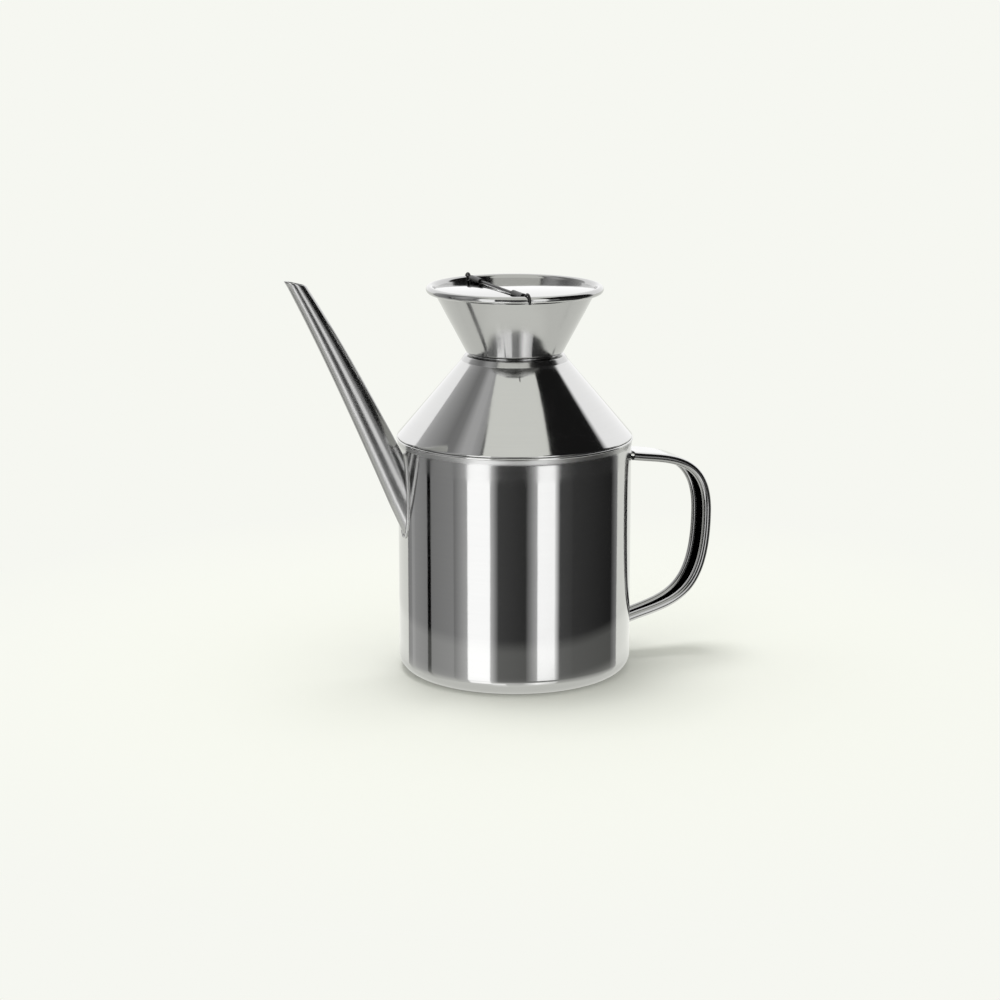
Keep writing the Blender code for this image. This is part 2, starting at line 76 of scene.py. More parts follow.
class Socket:
    """A node's output, on which the usual operators add Math nodes."""

    def __init__(self, nodes, socket):
        self.nodes = nodes
        self.socket = socket

    def out(self, name):
        """Another output of the same node."""
        return Socket(self.nodes, self.socket.node.outputs[name])

    def math(self, operation, *values, clamp=False):
        settings = {"operation": operation, "use_clamp": clamp}
        return self.nodes.add("ShaderNodeMath", settings, dict(enumerate((self,) + values)))

    def __add__(self, other):
        return self.math("ADD", other)

    def __sub__(self, other):
        return self.math("SUBTRACT", other)

    def __rsub__(self, other):
        return self.math("MULTIPLY", -1.0).math("ADD", other)

    def __mul__(self, other):
        return self.math("MULTIPLY", other)

    def __truediv__(self, other):
        return self.math("DIVIDE", other)

    __radd__ = __add__
    __rmul__ = __mul__

    def clamped(self):
        return self.math("ADD", 0.0, clamp=True)


class Nodes:
    """An emptied node tree that nodes are added to by type, settings and socket values."""

    def __init__(self, tree):
        self.tree = tree
        tree.nodes.clear()

    def add(self, kind, settings=None, values=None, output=0):
        node = self.tree.nodes.new(kind)
        for name, setting in (settings or {}).items():
            setattr(node, name, setting)
        for key, value in (values or {}).items():
            if isinstance(value, Socket):
                self.tree.links.new(value.socket, node.inputs[key])
            else:
                node.inputs[key].default_value = value
        return Socket(self, node.outputs[output]) if len(node.outputs) else node


def steel_finish(name, tone, roughness, wave_depth, line_places, line_depth=0.0004 * MM,
                 streaks=0.05, haze=None, shade=None):
    """Polished stainless: soft waves in the sheet, fine polishing lines and faint handling marks."""
    material = bpy.data.materials.new(name)
    material.use_nodes = True
    nodes = Nodes(material.node_tree)
    place = nodes.add("ShaderNodeTexCoord", output="Object")
    waves = nodes.add("ShaderNodeTexNoise", values={"Vector": place, "Scale": WAVE_SCALE, "Detail": 1.0})
    ripples = nodes.add(
        "ShaderNodeTexNoise", values={"Vector": place, "Scale": RIPPLE_SCALE, "Detail": 1.0}
    )
    marks = nodes.add("ShaderNodeTexNoise", values={"Vector": place, "Scale": MARK_SCALE, "Detail": 6.0})
    lines = nodes.add(
        "ShaderNodeTexNoise",
        values={"Vector": line_places(nodes, place), "Scale": 1.0, "Detail": 2.0, "Roughness": 0.6},
    )
    height = waves * wave_depth + ripples * (wave_depth * 0.12) + lines * line_depth
    bump = nodes.add("ShaderNodeBump", values={"Height": height, "Distance": 1.0})
    smudge = ((marks - 0.5) * 4.0).clamped()
    rough = roughness + smudge * (roughness * 0.6) + lines * (roughness * 0.5)
    if haze:
        rough = rough + haze(nodes, place)
    low = tone * (1.0 - streaks)
    high = tone * (1.0 + streaks * 0.4)
    colour = nodes.add(
        "ShaderNodeMix", {"data_type": "RGBA"},
        {"Factor": lines * 0.6 + marks * 0.4, 6: (low, low, low * 0.995, 1.0),
         7: (high, high, high * 0.99, 1.0)},
        output=2,
    )
    # A shade scales the colour down: painted shade, where a caller passes one.
    if shade:
        colour = nodes.add(
            "ShaderNodeVectorMath", {"operation": "SCALE"}, {0: colour, "Scale": shade(nodes, place)}
        )
    shader = nodes.add("ShaderNodeBsdfPrincipled", values={
        "Base Color": colour, "Metallic": 1.0, "Roughness": rough, "Normal": bump,
    })
    nodes.add("ShaderNodeOutputMaterial", values={"Surface": shader})
    return material


def turned_lines(nodes, place):
    """Places for lines that run round the can's axis, as a polishing wheel leaves them."""
    across = nodes.add("ShaderNodeSeparateXYZ", values={"Vector": place})
    along = across.out("Y")
    radius = (across * across + along * along).math("SQRT")
    return nodes.add("ShaderNodeCombineXYZ", values={
        "X": radius * 1400.0, "Y": across.out("Z") * 1400.0, "Z": (across + along * 0.6) * 30.0,
    })


def haze_under_seam(nodes, place):
    """Roughness of the band below the seam and of the flare, which the wheel misses under the lip."""
    height = nodes.add("ShaderNodeSeparateXYZ", values={"Vector": place}).out("Z")
    above = ((height - HAZE_FOOT) / HAZE_FADE).clamped()
    flare = ((height - SEAM_FOOT) / (1.0 * MM)).clamped()
    lip = ((height - SEAM_LIP_FOOT) / (0.1 * MM)).clamped()
    return (above * HAZE_ROUGHNESS + flare * SEAM_ROUGHNESS) * (1.0 - lip)


def rounded_path(corners):
    """A path through (radius, height, bend) corners, with each bend made as a fine arc."""
    path = [Vector(corners[0][:2])]
    for before, corner, after in zip(corners, corners[1:], corners[2:]):
        here = Vector(corner[:2])
        arriving = (here - Vector(before[:2])).normalized()
        leaving = (Vector(after[:2]) - here).normalized()
        turn = arriving.angle_signed(leaving)
        bend = corner[2]
        if bend == 0.0 or abs(turn) < 1e-6:
            path.append(here)
            continue
        start = here - arriving * bend * math.tan(abs(turn) / 2.0)
        to_centre = Vector((-arriving.y, arriving.x)) * math.copysign(1.0, -turn)
        first = math.atan2(-to_centre.y, -to_centre.x)
        path.extend(arc_points(start + to_centre * bend, bend, first, -turn))
    path.append(Vector(corners[-1][:2]))
    return path


def arc_points(centre, radius, start, sweep):
    """Points on an arc in a flat drawing, both ends included."""
    count = max(3, math.ceil(abs(sweep) / ARC_STEP))
    points = []
    for index in range(count + 1):
        angle = start + sweep * index / count
        points.append(centre + Vector((math.cos(angle), math.sin(angle))) * radius)
    return points


def guarded(path, reach, spacing):
    """The same path with points near both ends of its long runs, so that shading stays true there."""
    points = [path[0]]
    for start, end in zip(path, path[1:]):
        run = end - start
        length = run.length
        if length > 3.0 * reach:
            inner = length - 2.0 * reach
            count = max(1, math.ceil(inner / spacing))
            places = [reach + inner * index / count for index in range(count + 1)]
            points.extend(start + run * (place / length) for place in places)
        points.append(end)
    return points


def turned_tree():
    """A node tree that spins a drawn outline about Z; a lap lets the sheet's end stand on its start."""
    tree = bpy.data.node_groups.new("turned_sheet", "GeometryNodeTree")
    for name, kind in (
        ("Outline", "NodeSocketGeometry"), ("Turning steps", "NodeSocketFloat"),
        ("Lap angle", "NodeSocketFloat"), ("Lap height", "NodeSocketFloat"),
        ("Lap fade", "NodeSocketFloat"), ("Steel", "NodeSocketMaterial"),
    ):
        tree.interface.new_socket(name, in_out="INPUT", socket_type=kind)
    tree.interface.new_socket("Sheet", in_out="OUTPUT", socket_type="NodeSocketGeometry")
    nodes = Nodes(tree)
    outline = nodes.add("NodeGroupInput")
    steps = outline.out("Turning steps")
    count = nodes.add("GeometryNodeAttributeDomainSize", {"component": "MESH"}, {"Geometry": outline})
    grid = nodes.add("GeometryNodeMeshGrid", values={"Vertices X": steps + 1.0, "Vertices Y": count})
    index = nodes.add("GeometryNodeInputIndex")
    column = (index / count).math("FLOOR")
    drawn = nodes.add(
        "GeometryNodeSampleIndex", {"data_type": "FLOAT_VECTOR"},
        {"Geometry": outline, "Value": nodes.add("GeometryNodeInputPosition"),
         "Index": index - column * count},
    )
    spot = nodes.add("ShaderNodeSeparateXYZ", values={"Vector": drawn})
    angle = column / steps * math.tau
    past_lap = (angle - outline.out("Lap angle") + math.tau).math("MODULO", math.tau)
    raised = (1.0 - past_lap / outline.out("Lap fade")).clamped() * outline.out("Lap height")
    radius = spot + raised
    place = nodes.add("ShaderNodeCombineXYZ", values={
        "X": radius * angle.math("COSINE"), "Y": radius * angle.math("SINE"), "Z": spot.out("Z"),
    })
    spun = nodes.add("GeometryNodeSetPosition", values={"Geometry": grid, "Position": place})
    closed = nodes.add("GeometryNodeMergeByDistance", values={"Geometry": spun, "Distance": 0.001 * MM})
    smooth = nodes.add("GeometryNodeSetShadeSmooth", values={"Geometry": closed})
    real = nodes.add("GeometryNodeRealizeInstances", values={"Geometry": smooth})
    finished = nodes.add(
        "GeometryNodeSetMaterial", values={"Geometry": real, "Material": outline.out("Steel")}
    )
    nodes.add("NodeGroupOutput", values={0: finished})
    return tree


def grown(name, mesh, tree, values):
    """A plain mesh object made by running a node tree with named inputs on a drawn mesh."""
    item = bpy.data.objects.new(name, mesh)
    bpy.context.collection.objects.link(item)
    modifier = item.modifiers.new(tree.name, "NODES")
    modifier.node_group = tree
    for socket in tree.interface.items_tree:
        if socket.name in values:
            modifier[socket.identifier] = values[socket.name]
    evaluated = item.evaluated_get(bpy.context.evaluated_depsgraph_get())
    made = bpy.data.meshes.new_from_object(evaluated)
    item.modifiers.clear()
    item.data = made
    return item


def turned_sheet(name, outline, material, lap=(0.0, 0.0, 1.0)):
    """Spin a closed (radius, height) outline; its outer face runs upward."""
    drawing = bpy.data.meshes.new(name + "_outline")
    drawing.from_pydata([(max(point.x, 0.0), 0.0, point.y) for point in outline], [], [])
    return grown(name, drawing, turning, {
        "Turning steps": float(TURN_STEPS), "Lap angle": lap[0], "Lap height": lap[1],
        "Lap fade": lap[2], "Steel": material,
    })


def fitted(item, body, node):
    """Give a finished piece its place in the frame: hang it on its body and hide the CAD node's own mesh.
    """
    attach(item, body)
    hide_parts(node)


turning = turned_tree()
drawn_mirror = steel_finish(
    "mirror_polished_cup", STEEL_TONE, MIRROR_ROUGHNESS, WAVE_DEPTH, turned_lines, haze=haze_under_seam
)

inner_radius = BODY_RADIUS - SHEET
body_outside = rounded_path([
    (0.0, BASE_RECESS, 0.0),
    (BASE_RECESS_RADIUS, BASE_RECESS, BASE_BEND),
    (BASE_RING, 0.0, BASE_BEND),
    (BODY_RADIUS, 0.0, BASE_CORNER),
    (BODY_RADIUS, SEAM_COVE, SEAM_COVE_BEND),
    (SEAM_BAND_RADIUS, SEAM_LIP_FOOT - 0.08 * MM, 0.05 * MM),
    (SEAM_BAND_RADIUS - 0.12 * MM, SEAM_LIP_FOOT, 0.05 * MM),
    (SEAM_LIP_RADIUS, SEAM_LIP_FOOT + 0.1 * MM, 0.3 * MM),
    (SEAM_LIP_RADIUS, SEAM_LIP_TOP, 0.5 * MM),
    (SEAM_LIP_RADIUS - 1.1 * MM, SEAM_LIP_TOP, 0.25 * MM),
    (SEAM_LIP_RADIUS - 1.1 * MM, SEAM_LIP_TOP - SHEET, 0.1 * MM),
    (SEAM_LIP_RADIUS - 0.7 * MM, SEAM_LIP_TOP - SHEET, 0.05 * MM),
])
body_inside = rounded_path([
    (SEAM_BAND_RADIUS - 0.45 * MM, SEAM_LIP_TOP - 1.0 * MM, 0.0),
    (SEAM_BAND_RADIUS - 0.45 * MM, SEAM_FOOT + 1.2 * MM, 0.2 * MM),
    (inner_radius, SEAM_FOOT + 0.5 * MM, 0.2 * MM),
    (inner_radius, SHEET, BASE_CORNER - SHEET),
    (BASE_RING, SHEET, BASE_BEND),
    (BASE_RECESS_RADIUS, SHEET + BASE_RECESS, BASE_BEND),
    (0.0, SHEET + BASE_RECESS, 0.0),
])
body_outline = guarded(body_outside + body_inside, 0.4 * MM, 4.0 * MM)
drawn_body = turned_sheet("drawn_body", body_outline, drawn_mirror)
fitted(drawn_body, "can", "body_cup")


# Cone shoulder and neck
# One spun piece of the same sheet: a flange that is caught under the body's rolled lip, a straight
# cone, a raised ring and a short upright neck. The wheel polished all but the ring and the neck.

CONE_FOOT_RADIUS = 53.05 * MM
CONE_FOOT = 107.45 * MM
CONE_TOP = 141.5 * MM
CONE_TOP_RADIUS = 24.0 * MM
RING_TOP = 143.9 * MM
RING_TOP_RADIUS = 22.4 * MM
NECK_FOOT = 144.1 * MM
NECK_RADIUS = 19.6 * MM
NECK_TOP = 144.7 * MM
NECK_HAZE_FOOT = 138.0 * MM
NECK_HAZE_FADE = 4.0 * MM
NECK_ROUGHNESS = 0.1
# Painted shade: the groove over the body's lip and the ring and neck are painted darker by these factors.
GROOVE_TOP = 107.2 * MM
GROOVE_SHADE = 0.8
RING_SHADE = 0.82


def haze_at_neck(nodes, place):
    """Roughness of the ring and the neck, which the funnel above kept from the wheel."""
    height = nodes.add("ShaderNodeSeparateXYZ", values={"Vector": place}).out("Z")
    return ((height - NECK_HAZE_FOOT) / NECK_HAZE_FADE).clamped() * NECK_ROUGHNESS


def painted_groove_and_ring_shade(nodes, place):
    """Painted shade: how much darker the groove over the body's lip, and the ring and neck under the
    funnel, are painted.
    """
    height = nodes.add("ShaderNodeSeparateXYZ", values={"Vector": place}).out("Z")
    above = ((height - GROOVE_TOP) / (0.1 * MM)).clamped()
    ring = ((height - CONE_TOP) / (0.3 * MM)).clamped()
    return above * (1.0 - GROOVE_SHADE) + GROOVE_SHADE - ring * (1.0 - RING_SHADE)


# The cone's colour carries painted shade in the groove over the body's lip and on the ring and neck.
cone_mirror = steel_finish(
    "mirror_polished_cone", STEEL_TONE, MIRROR_ROUGHNESS, WAVE_DEPTH, turned_lines,
    haze=haze_at_neck, shade=painted_groove_and_ring_shade,
)
neck_inside = NECK_RADIUS - SHEET
flange_radius = SEAM_LIP_RADIUS - 1.2 * MM
shoulder_outline = guarded(rounded_path([
    (flange_radius, SEAM_FOOT + 1.2 * MM, 0.0),
    (flange_radius, CONE_FOOT - 0.4 * MM, 0.15 * MM),
    (CONE_FOOT_RADIUS, CONE_FOOT, 0.45 * MM),
    (CONE_TOP_RADIUS, CONE_TOP, 0.6 * MM),
    (RING_TOP_RADIUS, RING_TOP, 0.5 * MM),
    (NECK_RADIUS, NECK_FOOT, 0.2 * MM),
    (NECK_RADIUS, NECK_TOP, 0.25 * MM),
    (neck_inside, NECK_TOP, 0.25 * MM),
    (neck_inside, NECK_FOOT - SHEET, 0.4 * MM),
    (RING_TOP_RADIUS - 0.5 * MM, RING_TOP - SHEET, 0.4 * MM),
    (CONE_TOP_RADIUS - 0.7 * MM, CONE_TOP - SHEET, 0.5 * MM),
    (flange_radius - SHEET, CONE_FOOT + 0.9 * MM, 0.5 * MM),
    (flange_radius - SHEET, SEAM_FOOT + 1.2 * MM, 0.1 * MM),
    (flange_radius, SEAM_FOOT + 1.2 * MM, 0.0),
]), 0.4 * MM, 3.0 * MM)
spun_shoulder = turned_sheet("spun_shoulder", shoulder_outline, cone_mirror)
fitted(spun_shoulder, "can", "shoulder_cone")


# Funnel mouth
# A flared sleeve that plugs into the neck: its sheet is lapped and closed at one side, which leaves a
# fine upright step, and its top edge is rolled outward and down into a round, open bead.

FUNNEL_FOOT = 145.0 * MM
FUNNEL_LEDGE = 2.1 * MM
FUNNEL_BEND = 0.8 * MM
SLEEVE_RADIUS = 18.7 * MM
SLEEVE_LENGTH = 7.0 * MM
RIM_TOP = 174.9 * MM
RIM_ROLL = 3.4 * MM
RIM_ROLL_SWEEP = math.radians(273.0)
ROLL_CENTRE = Vector((37.8 * MM, RIM_TOP - RIM_ROLL / 2.0))
LAP_ANGLE = math.radians(-122.0)
LAP_HEIGHT = -0.2 * MM
LAP_FADE = math.radians(50.0)
SATIN_TONE = 0.48
SATIN_ROUGHNESS = 0.08


def sheet_outline(path, thickness):
    """The closed outline of a sheet about its middle path, with both cut edges rounded."""
    half = thickness / 2.0
    sides = ([], [])
    for index, point in enumerate(path):
        runs = [second - first for first, second in zip(path[max(index - 1, 0):index + 2],
                                                        path[max(index - 1, 0) + 1:index + 2])]
        normals = [Vector((-run.y, run.x)).normalized() for run in runs]
        middle = (normals[0] + normals[-1]).normalized()
        reach = half / middle.dot(normals[0])
        sides[0].append(point + middle * reach)
        sides[1].append(point - middle * reach)
    start_cap = edge_cap(path[0], sides[1][0], sides[0][0])
    end_cap = edge_cap(path[-1], sides[0][-1], sides[1][-1])
    return sides[0] + end_cap + sides[1][::-1] + start_cap


def edge_cap(middle, start, end):
    """Points between the two corners of a cut edge, on the half circle that joins them."""
    arm = start - middle
    outward = Vector((arm.y, -arm.x))
    if (end - middle).angle_signed(outward) * arm.angle_signed(outward) > 0.0:
        outward = -outward
    angles = [math.pi * index / 6 for index in range(1, 6)]
    return [middle + arm * math.cos(angle) + outward * math.sin(angle) for angle in angles]


foot = Vector((NECK_RADIUS + FUNNEL_LEDGE - SHEET / 2.0, FUNNEL_FOOT + SHEET / 2.0))
roll_radius = (RIM_ROLL - SHEET) / 2.0
to_roll = ROLL_CENTRE - foot
wall_heading = math.atan2(to_roll.y, to_roll.x) + math.asin(roll_radius / to_roll.length)
roll = arc_points(ROLL_CENTRE, roll_radius, wall_heading + math.pi / 2.0, -RIM_ROLL_SWEEP)
funnel_middle = rounded_path([
    (SLEEVE_RADIUS - SHEET / 2.0, foot.y - SLEEVE_LENGTH, 0.0),
    (SLEEVE_RADIUS - SHEET / 2.0, foot.y, FUNNEL_BEND),
    (foot.x, foot.y, FUNNEL_BEND),
    (roll[0].x, roll[0].y, 0.0),
])
funnel_sheet = sheet_outline(guarded(funnel_middle, 0.4 * MM, 2.0 * MM) + roll[1:], SHEET)
funnel_outline = funnel_sheet[::-1] + [funnel_sheet[-1]]
satin_steel = steel_finish("satin_spun_sheet", SATIN_TONE, SATIN_ROUGHNESS, WAVE_DEPTH, turned_lines)
funnel_mouth = turned_sheet(
    "funnel_mouth", funnel_outline, satin_steel, (LAP_ANGLE, LAP_HEIGHT, LAP_FADE)
)
fitted(funnel_mouth, "can", "funnel")


# Lid
# A flat disc of thinner sheet, cut in two beside the hinge. The smaller half is fixed in the funnel,
# and two stretches of the larger one's edge, in a dark tone, are curled round the hinge wire.

LID_SHEET = 0.5 * MM
LID_UNDERSIDE = 172.9 * MM
LID_STEPS = 240
LID_EDGE_ROUNDING = 0.1 * MM
HINGE_GAP = 0.3 * MM
WIRE_RADIUS = 0.6 * MM
KNUCKLE_BORE = WIRE_RADIUS + HINGE_GAP
KNUCKLE_RADIUS = KNUCKLE_BORE + LID_SHEET
KNUCKLE_START = 20.0 * MM
KNUCKLE_END = 32.0 * MM
KNUCKLE_OPENING = math.radians(-20.0)
KNUCKLE_TAIL = 2.0 * MM
HINGE = Vector((-8.5 * MM, 0.0, LID_UNDERSIDE + KNUCKLE_RADIUS))
DARK_TONE = 0.05
BARE_ROUGHNESS = 0.3


def disc_arc(radius, start, end):
    """Points of a disc's edge between two angles."""
    count = math.ceil(abs(end - start) / math.tau * LID_STEPS)
    angles = [start + (end - start) * index / count for index in range(count + 1)]
    return [(radius * math.cos(angle), radius * math.sin(angle)) for angle in angles]


def add_plate(shape, outline, bottom, top):
    """Add a flat plate with an (x, y) outline between two heights, its edges slightly rounded."""
    face = shape.faces.new([shape.verts.new((x, y, bottom)) for x, y in outline])
    raised = bmesh.ops.extrude_face_region(shape, geom=[face])
    verts = [part for part in raised["geom"] if isinstance(part, bmesh.types.BMVert)]
    bmesh.ops.translate(shape, vec=(0.0, 0.0, top - bottom), verts=verts)
    bmesh.ops.recalc_face_normals(shape, faces=shape.faces)
    flats = [part for part in shape.faces if len(part.verts) > 4]
    rims = list({edge for part in flats for edge in part.edges})
    bmesh.ops.bevel(
        shape, geom=rims, offset=LID_EDGE_ROUNDING, segments=2, profile=0.5, affect="EDGES",
        clamp_overlap=True,
    )


def add_loft(shape, rings, closed_ends=True):
    """Add a skin over a list of rings, each a list of points."""
    rows = [[shape.verts.new(point) for point in ring] for ring in rings]
    faces = []
    for row, following in zip(rows, rows[1:] if closed_ends else rows[1:] + rows[:1]):
        for index in range(len(row)):
            after = (index + 1) % len(row)
            faces.append(shape.faces.new((row[index], row[after], following[after], following[index])))
    if closed_ends:
        faces.append(shape.faces.new(rows[0][::-1]))
        faces.append(shape.faces.new(rows[-1]))
    bmesh.ops.recalc_face_normals(shape, faces=faces)
    return faces


def finished_mesh(name, shape, material, crease=35.0):
    """Turn a bmesh into an object with smooth shading and its real corners kept sharp."""
    mesh = bpy.data.meshes.new(name)
    shape.to_mesh(mesh)
    shape.free()
    mesh.shade_smooth()
    mesh.set_sharp_from_angle(angle=math.radians(crease))
    mesh.materials.append(material)
    item = bpy.data.objects.new(name, mesh)
    bpy.context.collection.objects.link(item)
    return item


mirror_steel = steel_finish(
    "mirror_polished_sheet", STEEL_TONE, MIRROR_ROUGHNESS, WAVE_DEPTH, turned_lines
)
dark_curl = steel_finish("dark_curled_edge", DARK_TONE, BARE_ROUGHNESS, 0.0, turned_lines)
lid_middle = foot.x + (LID_UNDERSIDE - foot.y) / math.tan(wall_heading)
lid_radius = lid_middle - (SHEET / 2.0 + HINGE_GAP) / math.sin(wall_heading)
lid_top = LID_UNDERSIDE + LID_SHEET

fixed_edge = HINGE.x - HINGE_GAP
notch_edge = HINGE.x - KNUCKLE_RADIUS - HINGE_GAP
corner = math.acos(fixed_edge / lid_radius)
fixed_outline = disc_arc(lid_radius, corner, math.tau - corner)
for first, last in ((-KNUCKLE_END, -KNUCKLE_START), (KNUCKLE_START, KNUCKLE_END)):
    fixed_outline.extend([(fixed_edge, first - HINGE_GAP), (notch_edge, first - HINGE_GAP)])
    fixed_outline.extend([(notch_edge, last + HINGE_GAP), (fixed_edge, last + HINGE_GAP)])
fixed_shape = bmesh.new()
add_plate(fixed_shape, fixed_outline, LID_UNDERSIDE, lid_top)
lid_fixed_half = finished_mesh("lid_fixed_half", fixed_shape, mirror_steel)
fitted(lid_fixed_half, "can", "lid_fixed")

flap_edge = HINGE.x + HINGE_GAP
set_back = HINGE.x + KNUCKLE_TAIL
corner = math.acos(set_back / lid_radius)
flap_outline = disc_arc(lid_radius, -corner, corner)
flap_outline.extend([(set_back, KNUCKLE_END), (flap_edge, KNUCKLE_END)])
flap_outline.extend([(flap_edge, -KNUCKLE_END), (set_back, -KNUCKLE_END)])
flap_shape = bmesh.new()
add_plate(flap_shape, flap_outline, LID_UNDERSIDE, lid_top)
curl_sweep = KNUCKLE_OPENING + math.pi / 2.0 - math.tau
curl = arc_points(Vector((0.0, 0.0)), KNUCKLE_RADIUS - LID_SHEET / 2.0, -math.pi / 2.0, curl_sweep)
curl_middle = [Vector((KNUCKLE_TAIL, curl[0].y))] + curl
curl_outline = sheet_outline(curl_middle, LID_SHEET * 0.98)
for start in (-KNUCKLE_END, KNUCKLE_START):
    ends = (start, start + KNUCKLE_END - KNUCKLE_START)
    rings = [[(HINGE.x + spot.x, y, HINGE.z + spot.y) for spot in curl_outline] for y in ends]
    for face in add_loft(flap_shape, rings):
        face.material_index = 1
lid_flap_half = finished_mesh("lid_flap_half", flap_shape, mirror_steel)
lid_flap_half.data.materials.append(dark_curl)
fitted(lid_flap_half, "flap", "lid_flap")


# Hinge wire
# A straight length of dark drawn wire across the funnel, on which the lid's curled edge turns. Each
# end is bent over the rolled rim and down outside it, and held there by a touch of solder.

RIM_GAP = 0.3 * MM
WIRE_TAIL = 1.4 * MM


def drawn_lines(nodes, place):
    """Places for the small lengthwise scores that a drawing die leaves on wire."""
    return nodes.add(
        "ShaderNodeVectorMath", {"operation": "MULTIPLY"}, {0: place, 1: (5200.0, 160.0, 5200.0)}
    )


def bar_tree():
    """A node tree that lays a round bar on a drawn path; a ripple swells it as a weld's drops do."""
    tree = bpy.data.node_groups.new("bar_on_path", "GeometryNodeTree")
    for name, kind in (
        ("Path", "NodeSocketGeometry"), ("Bar radius", "NodeSocketFloat"),
        ("Step length", "NodeSocketFloat"), ("Ripple share", "NodeSocketFloat"),
        ("Ripple length", "NodeSocketFloat"), ("Sides", "NodeSocketInt"), ("Steel", "NodeSocketMaterial"),
    ):
        tree.interface.new_socket(name, in_out="INPUT", socket_type=kind)
    tree.interface.new_socket("Bar", in_out="OUTPUT", socket_type="NodeSocketGeometry")
    nodes = Nodes(tree)
    path = nodes.add("NodeGroupInput")
    curve = nodes.add("GeometryNodeMeshToCurve", values={"Mesh": path})
    even = nodes.add(
        "GeometryNodeResampleCurve", {"mode": "LENGTH"},
        {"Curve": curve, "Length": path.out("Step length")},
    )
    run = nodes.add("GeometryNodeSplineParameter", output="Length")
    beat = (run / path.out("Ripple length") * math.tau).math("SINE")
    ring = nodes.add(
        "GeometryNodeCurvePrimitiveCircle", {"mode": "RADIUS"},
        {"Resolution": path.out("Sides"), "Radius": path.out("Bar radius")},
    )
    bar = nodes.add("GeometryNodeCurveToMesh", values={
        "Curve": even, "Profile Curve": ring, "Scale": 1.0 + beat * path.out("Ripple share"),
        "Fill Caps": True,
    })
    smooth = nodes.add("GeometryNodeSetShadeSmooth", values={"Geometry": bar})
    real = nodes.add("GeometryNodeRealizeInstances", values={"Geometry": smooth})
    finished = nodes.add(
        "GeometryNodeSetMaterial", values={"Geometry": real, "Material": path.out("Steel")}
    )
    nodes.add("NodeGroupOutput", values={0: finished})
    return tree


def bar_on_path(name, points, material, radius, step, ripple=(0.0, 1.0), closed=False):
    """A round bar along points; ripple is its share of the radius and its length."""
    drawing = bpy.data.meshes.new(name + "_path")
    edges = [(index, index + 1) for index in range(len(points) - 1)]
    if closed:
        edges.append((len(points) - 1, 0))
    drawing.from_pydata(points, edges, [])
    item = grown(name, drawing, bar_laying, {
        "Bar radius": radius, "Step length": step, "Ripple share": ripple[0],
        "Ripple length": ripple[1], "Sides": 20, "Steel": material,
    })
    item.data.set_sharp_from_angle(angle=math.radians(50.0))
    return item


bar_laying = bar_tree()
dark_wire = steel_finish("dark_drawn_wire", DARK_TONE, BARE_ROUGHNESS, 0.0, drawn_lines)
rim_y = math.sqrt(ROLL_CENTRE.x ** 2 - HINGE.x ** 2)
over_rim = (RIM_ROLL / 2.0 + RIM_GAP + WIRE_RADIUS) * ROLL_CENTRE.x / rim_y
first_angle = math.pi - math.asin((HINGE.z - ROLL_CENTRE.y) / over_rim)
wire_side = arc_points(Vector((rim_y, ROLL_CENTRE.y)), over_rim, first_angle, -first_angle)
wire_side.append(Vector((rim_y + over_rim, ROLL_CENTRE.y - WIRE_TAIL)))
wire_points = [(HINGE.x, -spot.x, spot.y) for spot in wire_side[::-1]]
wire_points += [(HINGE.x, spot.x, spot.y) for spot in wire_side]
lid_hinge_wire = bar_on_path("lid_hinge_wire", wire_points, dark_wire, WIRE_RADIUS, 0.4 * MM)
fitted(lid_hinge_wire, "can", "hinge_wire")


# Pouring spout
# A long tube drawn to a taper, oval where it meets the body and round at its tip, bent outward and
# sawn off a little aslant. A low bead of weld runs round its root, brushed but not polished.

SPOUT_SHEET = 0.6 * MM
SPOUT_ROOT = Vector((-BODY_RADIUS, 0.0, BODY_HEIGHT - 23.35 * MM))
SPOUT_BEND = SPOUT_ROOT + Vector((-29.0 * MM, 0.0, 63.15 * MM))
SPOUT_TIP = SPOUT_ROOT + Vector((-48.95 * MM, 0.0, 97.2 * MM))
SPOUT_TIP_SLANT = 0.24
SPOUT_TIP_RADIUS = 3.55 * MM
SPOUT_ROOT_DEPTH = 7.8 * MM
SPOUT_ROOT_WIDTH = 4.7 * MM
SPOUT_SIDES = 64
SPOUT_RINGS = 110
SEAM_SLOPE = 0.8 * MM
SPOUT_GAP = 0.02 * MM
TUBE_TONE = 0.45
TUBE_ROUGHNESS = 0.15


def spout_point(share, angle, grow):
    """A point on the spout's skin: share 0 is the tip, 1 the root, and both ends run on straight."""
    held = min(max(share, 0.0), 1.0)
    point = (
        SPOUT_TIP * (1.0 - held) ** 2 + SPOUT_BEND * (2.0 * held * (1.0 - held)) + SPOUT_ROOT * held ** 2
    )
    slope = (SPOUT_BEND - SPOUT_TIP) * (2.0 - 2.0 * held) + (SPOUT_ROOT - SPOUT_BEND) * (2.0 * held)
    point = point + slope * (share - held)
    direction = slope.normalized()
    depth = SPOUT_TIP_RADIUS + (SPOUT_ROOT_DEPTH - SPOUT_TIP_RADIUS) * held + grow
    width = SPOUT_TIP_RADIUS + (SPOUT_ROOT_WIDTH - SPOUT_TIP_RADIUS) * held + grow
    across = Vector((-direction.z, 0.0, direction.x))
    return point + across * depth * math.cos(angle) + Vector((0.0, width * math.sin(angle), 0.0))


def crossing(inside_test, low, high):
    """The share between two others where a test that holds at the lower one stops holding."""
    for _ in range(40):
        middle = (low + high) / 2.0
        if inside_test(middle):
            low = middle
        else:
            high = middle
    return low


def clear_of_body(point, gap):
    """Whether a point is outside the body's wall and the seam's band."""
    past_foot = min(max((point.z - SEAM_FOOT + gap) / SEAM_SLOPE, 0.0), 1.0)
    limit = BODY_RADIUS + (SEAM_BAND_RADIUS - BODY_RADIUS) * past_foot + gap
    return math.hypot(point.x, point.y) > limit


def past_cut(point, level):
    """Whether a point is beyond the sawn cut, or beyond a plane beside it at another level."""
    return point.z + SPOUT_TIP_SLANT * (point.x - SPOUT_TIP.x) > level


